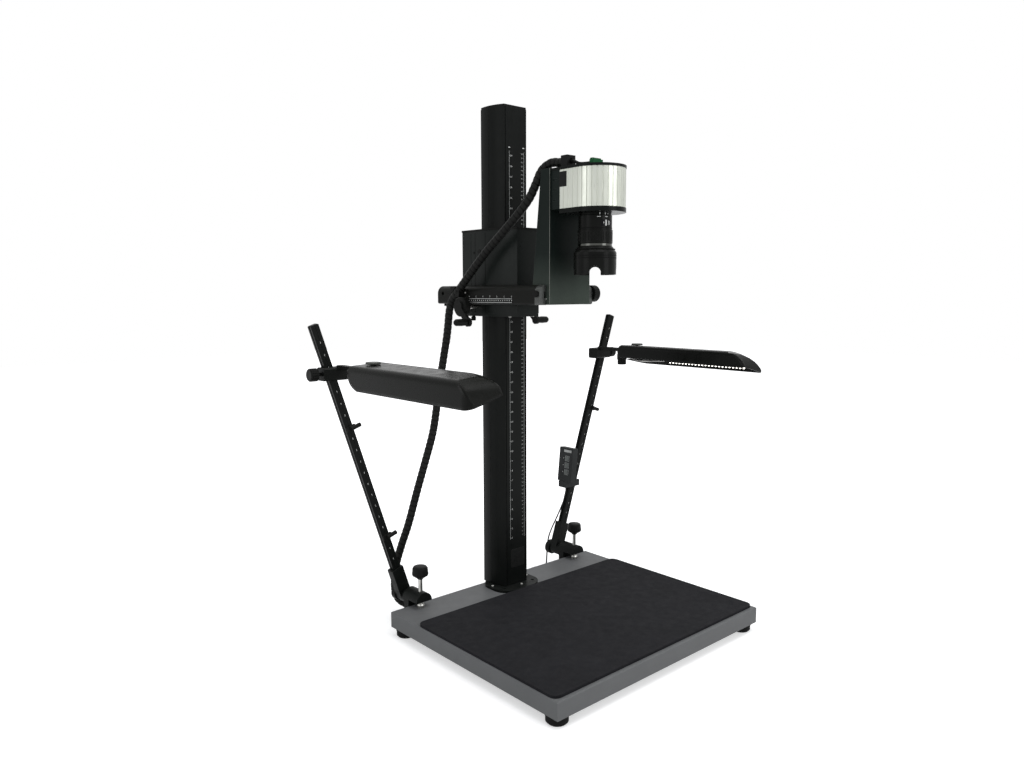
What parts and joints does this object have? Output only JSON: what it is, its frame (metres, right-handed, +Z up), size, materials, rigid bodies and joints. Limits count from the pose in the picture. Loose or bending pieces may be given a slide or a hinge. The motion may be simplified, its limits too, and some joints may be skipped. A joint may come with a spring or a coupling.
{
  "type": "copy stand",
  "caption": "Copy stand with matted baseboard, scaled column, crank-driven carriage, sliding twin-bar arm, tilting camera head and clamp-on lamps on leaning bars.",
  "frame": {"origin": "centre of the baseboard in plan, on the top face of the mat", "axes": "+Z up along the column, +X to the right seen from the front, +Y from the front edge to the column"},
  "size_m": [1.0202, 0.706, 1.275],
  "materials": {
    "board_grey": "laminated board, painted mid grey, satin",
    "mat_black": "fine matt grain",
    "rubber_black": "matt",
    "anodised_black": "black anodised, satin",
    "painted_black": "black powder coat, fine texture",
    "cast_black": "die cast, black powder coat",
    "plastic_black": "moulded black, satin",
    "steel_bright": "turned, bright",
    "bracket_dark": "dark green-grey coat, satin",
    "camera_silver": "bead blasted, natural",
    "lens_black": "satin black",
    "terminal_green": "moulded green and black",
    "lamp_black": "black satin coat",
    "led_white": "white strip, lit",
    "controller_grey": "moulded dark grey",
    "button_grey": "moulded grey",
    "cable_black": "spiral wrap, satin black"
  },
  "bodies": {
    "base": {"board": "board_grey", "mat": "mat_black", "feet": "rubber_black", "column_flange": "painted_black", "column": "anodised_black", "gear_rack": "steel_bright", "column_cap": "plastic_black", "lamp_clamp_left": "cast_black", "lamp_clamp_right": "cast_black", "harness_lower": "cable_black", "harness_plug": "plastic_black", "controller_lead": "cable_black", "lead_plug": "plastic_black"},
    "carriage": {"carriage_housing": "cast_black", "carriage_lid": "plastic_black", "carriage_base": "cast_black", "harness_middle": "cable_black"},
    "crank": {"crank_shaft": "steel_bright", "cranks": "plastic_black"},
    "grip_left": {"crank_grip_left": "plastic_black"},
    "grip_right": {"crank_grip_right": "plastic_black"},
    "drag": {"drag_screw": "painted_black"},
    "arm": {"arm_bar_left": "anodised_black", "arm_bar_right": "anodised_black", "arm_cross_bar": "anodised_black", "cable_clip": "plastic_black", "harness_upper": "cable_black"},
    "head": {"bracket": "bracket_dark", "camera_mount": "cast_black", "camera_body": "camera_silver", "camera_cover": "plastic_black", "camera_base": "plastic_black", "cable_anchor": "terminal_green", "lens_barrel": "lens_black", "lens_hood": "lens_black"},
    "tilt_clamp": {"tilt_knob": "plastic_black"},
    "focus": {"focus_ring": "lens_black"},
    "clamp_screw_left": {"clamp_screw_left": "plastic_black"},
    "lamp_arm_left": {"bar_socket_left": "cast_black", "lamp_bar_left": "anodised_black"},
    "pivot_left": {"pivot_knob_left": "plastic_black"},
    "slide_left": {"slide_clamp_left": "cast_black"},
    "slide_lock_left": {"slide_knob_left": "plastic_black"},
    "lamp_left": {"lamp_shade_left": "lamp_black", "led_strip_left": "led_white"},
    "lamp_lock_left": {"lamp_knob_left": "plastic_black"},
    "clamp_screw_right": {"clamp_screw_right": "plastic_black"},
    "lamp_arm_right": {"bar_socket_right": "cast_black", "lamp_bar_right": "anodised_black", "controller": "controller_grey"},
    "pivot_right": {"pivot_knob_right": "plastic_black"},
    "slide_right": {"slide_clamp_right": "cast_black"},
    "slide_lock_right": {"slide_knob_right": "plastic_black"},
    "lamp_right": {"lamp_shade_right": "lamp_black", "led_strip_right": "led_white"},
    "lamp_lock_right": {"lamp_knob_right": "plastic_black"},
    "button_top": {"button_top": "button_grey"},
    "button_middle": {"button_middle": "button_grey"},
    "button_bottom": {"button_bottom": "button_grey"}
  },
  "joints": [
    {"name": "carriage_lift", "type": "slide", "parent": "base", "child": "carriage", "axis": [0, 0, 1], "range_m": [-0.5, 0.27], "deforming": ["harness_lower"]},
    {"name": "crank_turn", "type": "hinge", "parent": "carriage", "child": "crank", "pos_m": [0, 0.29545, 0.722], "axis": [1, 0, 0], "range_deg": [-2388.3, 1290.2]},
    {"name": "grip_left_spin", "type": "hinge", "parent": "crank", "child": "grip_left", "pos_m": [-0.122, 0.25933, 0.68459], "axis": [1, 0, 0], "continuous": true},
    {"name": "grip_right_spin", "type": "hinge", "parent": "crank", "child": "grip_right", "pos_m": [0.122, 0.25933, 0.68459], "axis": [1, 0, 0], "continuous": true},
    {"name": "drag_turn", "type": "hinge", "parent": "carriage", "child": "drag", "pos_m": [-0.049, 0.32, 0.69], "axis": [0, 0, 1], "continuous": true},
    {"name": "arm_slide", "type": "slide", "parent": "carriage", "child": "arm", "axis": [0, -1, 0], "range_m": [-0.085, 0.04], "deforming": ["harness_middle"]},
    {"name": "camera_tilt", "type": "hinge", "parent": "arm", "child": "head", "pos_m": [0, 0.042, 0.754], "axis": [1, 0, 0], "range_deg": [-6, 6], "deforming": ["harness_upper"]},
    {"name": "tilt_knob_turn", "type": "hinge", "parent": "arm", "child": "tilt_clamp", "pos_m": [0.098, 0.042, 0.754], "axis": [1, 0, 0], "continuous": true},
    {"name": "focus_turn", "type": "hinge", "parent": "head", "child": "focus", "pos_m": [0, -0.0565, 0.88], "axis": [0, 0, 1], "range_deg": [-120, 120]},
    {"name": "clamp_screw_left_turn", "type": "hinge", "parent": "base", "child": "clamp_screw_left", "pos_m": [-0.269, 0.262, 0.06], "axis": [0, 0, 1], "continuous": true},
    {"name": "lean_left", "type": "hinge", "parent": "base", "child": "lamp_arm_left", "pos_m": [-0.269, 0.335, 0.005], "axis": [0, -1, 0], "range_deg": [-12, 30]},
    {"name": "pivot_knob_left_turn", "type": "hinge", "parent": "base", "child": "pivot_left", "pos_m": [-0.269, 0.36, 0.005], "axis": [0, 1, 0], "continuous": true},
    {"name": "slide_left", "type": "slide", "parent": "lamp_arm_left", "child": "slide_left", "axis": [-0.3156, 0, 0.9489], "range_m": [-0.2, 0.08]},
    {"name": "slide_knob_left_turn", "type": "hinge", "parent": "slide_left", "child": "slide_lock_left", "pos_m": [-0.49, 0.335, 0.57527], "axis": [1, 0, 0], "continuous": true},
    {"name": "lamp_left_swivel", "type": "hinge", "parent": "slide_left", "child": "lamp_left", "pos_m": [-0.4375, 0.18, 0.59], "axis": [0, 0, 1], "range_deg": [-10, 10]},
    {"name": "lamp_knob_left_turn", "type": "hinge", "parent": "slide_left", "child": "lamp_lock_left", "pos_m": [-0.4375, 0.236, 0.57], "axis": [0, 0, 1], "continuous": true},
    {"name": "clamp_screw_right_turn", "type": "hinge", "parent": "base", "child": "clamp_screw_right", "pos_m": [0.269, 0.262, 0.06], "axis": [0, 0, 1], "continuous": true},
    {"name": "lean_right", "type": "hinge", "parent": "base", "child": "lamp_arm_right", "pos_m": [0.269, 0.335, 0.005], "axis": [0, 1, 0], "range_deg": [-12, 30], "deforming": ["controller_lead"]},
    {"name": "pivot_knob_right_turn", "type": "hinge", "parent": "base", "child": "pivot_right", "pos_m": [0.269, 0.36, 0.005], "axis": [0, 1, 0], "continuous": true},
    {"name": "slide_right", "type": "slide", "parent": "lamp_arm_right", "child": "slide_right", "axis": [0.3156, 0, 0.9489], "range_m": [-0.2, 0.08]},
    {"name": "slide_knob_right_turn", "type": "hinge", "parent": "slide_right", "child": "slide_lock_right", "pos_m": [0.49, 0.335, 0.57527], "axis": [1, 0, 0], "continuous": true},
    {"name": "lamp_right_swivel", "type": "hinge", "parent": "slide_right", "child": "lamp_right", "pos_m": [0.4375, 0.18, 0.59], "axis": [0, 0, 1], "range_deg": [-10, 10]},
    {"name": "lamp_knob_right_turn", "type": "hinge", "parent": "slide_right", "child": "lamp_lock_right", "pos_m": [0.4375, 0.236, 0.57], "axis": [0, 0, 1], "continuous": true},
    {"name": "press_top", "type": "slide", "parent": "lamp_arm_right", "child": "button_top", "axis": [0.9945, 0, -0.1045], "range_m": [0, 0.0012], "stiffness_N_per_m": 600},
    {"name": "press_middle", "type": "slide", "parent": "lamp_arm_right", "child": "button_middle", "axis": [0.9945, 0, -0.1045], "range_m": [0, 0.0012], "stiffness_N_per_m": 600},
    {"name": "press_bottom", "type": "slide", "parent": "lamp_arm_right", "child": "button_bottom", "axis": [0.9945, 0, -0.1045], "range_m": [0, 0.0012], "stiffness_N_per_m": 600}
  ],
  "couplings": [
    {"joint": "crank_turn", "follows": "carriage_lift", "rad_per_m": 83.333}
  ]
}
